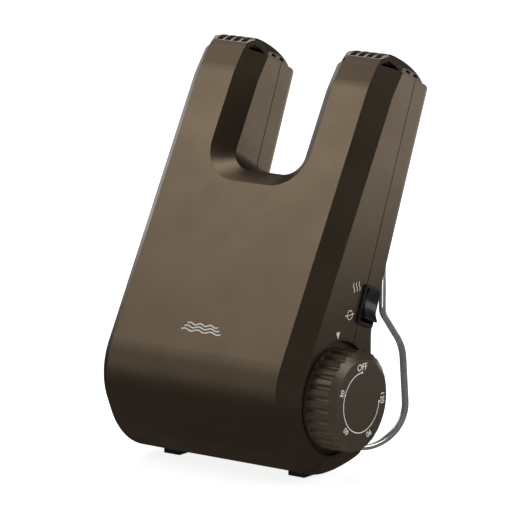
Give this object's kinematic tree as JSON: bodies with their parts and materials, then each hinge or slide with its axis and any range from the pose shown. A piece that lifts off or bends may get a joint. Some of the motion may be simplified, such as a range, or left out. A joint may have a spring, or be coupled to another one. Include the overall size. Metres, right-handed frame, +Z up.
{
  "type": "boot dryer",
  "caption": "Free-standing electric dryer for ski boots: a leaning forked body blows warm air out of domed outlets, with timer dial, rocker switch and a wire prop stand.",
  "frame": {"origin": "on the floor, under the middle of the whole object's width and depth", "axes": "+Z is up, the flat front face leans back toward +Y, the timer knob is on the +X side"},
  "size_m": [0.1542, 0.1315, 0.2295],
  "materials": {
    "shell_brown": "fine-grained satin moulded plastic, dark brown-grey",
    "cap_brown": "fine-grained satin moulded plastic, dark brown-grey",
    "knob_brown": "smooth satin moulded plastic",
    "switch_black": "glossy black plastic",
    "rocker_black": "satin black plastic",
    "stand_chrome": "bright plated bent wire",
    "clip_black": "matte black plastic",
    "screw_steel": "zinc-plated steel",
    "foot_rubber": "soft black rubber",
    "gland_rubber": "soft black rubber",
    "grille_black": "matte dark plastic",
    "filter_foam": "open-cell foam",
    "blower_plastic": "black glass-filled plastic",
    "fan_white": "natural white plastic",
    "stator_steel": "stacked electrical steel sheets",
    "coil_copper": "varnished copper winding",
    "rotor_steel": "cast cage on a steel stack",
    "shaft_steel": "ground steel",
    "bracket_steel": "zinc-plated pressed steel",
    "heater_mica": "mica sheet",
    "heater_metal": "resistance ribbon",
    "duct_plastic": "black heat-resisting plastic",
    "stat_metal": "aluminium cup on a dark base",
    "timer_plastic": "off-white plastic",
    "clip_steel": "spring steel",
    "terminal_brass": "plated brass",
    "block_plastic": "white plastic"
  },
  "bodies": {
    "body": {"front_housing": "shell_brown", "rear_housing": "shell_brown", "outlet_grille_right": "cap_brown", "outlet_grille_left": "cap_brown", "intake_grille": "grille_black", "intake_filter": "filter_foam", "fan_scroll": "blower_plastic", "scroll_cover": "blower_plastic", "motor_stator": "stator_steel", "motor_coil": "coil_copper", "motor_bracket_front": "bracket_steel", "motor_bracket_rear": "bracket_steel", "heater_frame": "heater_mica", "heater_ribbon": "heater_metal", "air_duct": "duct_plastic", "thermostat": "stat_metal", "thermal_fuse": "stat_metal", "timer_case": "timer_plastic", "timer_plate": "bracket_steel", "switch_case": "switch_black", "switch_terminals": "terminal_brass", "stand_clip_left": "clip_black", "stand_clip_right": "clip_black", "clip_screws": "screw_steel", "housing_screws": "screw_steel", "front_feet": "foot_rubber", "cord_gland": "gland_rubber", "terminal_block": "block_plastic"},
    "knob_set": {"timer_knob": "knob_brown", "timer_shaft": "shaft_steel", "knob_clip": "clip_steel"},
    "rocker": {"switch_rocker": "rocker_black"},
    "stand": {"wire_stand": "stand_chrome"},
    "fan_set": {"fan_impeller": "fan_white", "motor_rotor": "rotor_steel", "motor_shaft": "shaft_steel"}
  },
  "joints": [
    {"name": "timer_turn", "type": "hinge", "parent": "body", "child": "knob_set", "pos_m": [0.0601, -0.0227, 0.0476], "axis": [-1, 0, 0], "range_deg": [0, 270]},
    {"name": "rocker_tilt", "type": "hinge", "parent": "body", "child": "rocker", "pos_m": [0.0577, 0.0063, 0.0945], "axis": [0, 0.9225, -0.3859], "range_deg": [0, 14]},
    {"name": "stand_fold", "type": "hinge", "parent": "body", "child": "stand", "pos_m": [-0.0085, 0.0387, 0.1247], "axis": [-1, 0, 0], "range_deg": [0, 12]},
    {"name": "fan_spin", "type": "hinge", "parent": "body", "child": "fan_set", "pos_m": [-0.0275, -0.03104, 0.06168], "axis": [0, -0.8694, 0.4941], "continuous": true}
  ]
}
